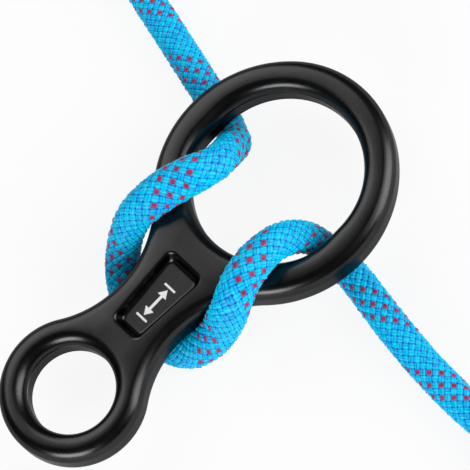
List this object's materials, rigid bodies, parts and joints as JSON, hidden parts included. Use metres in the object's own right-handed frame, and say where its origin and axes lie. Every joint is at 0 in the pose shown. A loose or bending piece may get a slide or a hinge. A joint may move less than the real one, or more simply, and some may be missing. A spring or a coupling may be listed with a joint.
{
  "type": "figure eight descender",
  "caption": "Forged figure eight descender with a large rope ring, a small carabiner eye and a pocketed neck, rigged with a short length of braided kernmantle rope.",
  "frame": {"origin": "middle of the forging's length, width and thickness", "axes": "+Y along the forging from the small eye to the big ring, +X across it, +Z square to its two flat faces"},
  "size_m": [0.2137, 0.15, 0.0367],
  "materials": {
    "anodised_black": "forged, tumbled and hard anodised, satin black",
    "rope_sheath": "woven sheath, cyan blue with short red tracer marks",
    "rope_core": "white twisted core strands",
    "end_sleeve": "shrunk black tube"
  },
  "bodies": {
    "root": {"descender_body": "anodised_black", "rope_anchor_strand_sheath": "rope_sheath", "rope_anchor_strand_core": "rope_core", "rope_wrap_sheath": "rope_sheath", "rope_wrap_core": "rope_core", "rope_brake_strand_sheath": "rope_sheath", "rope_brake_strand_core": "rope_core", "rope_anchor_end_sleeve": "end_sleeve", "rope_brake_end_sleeve": "end_sleeve"}
  },
  "joints": []
}
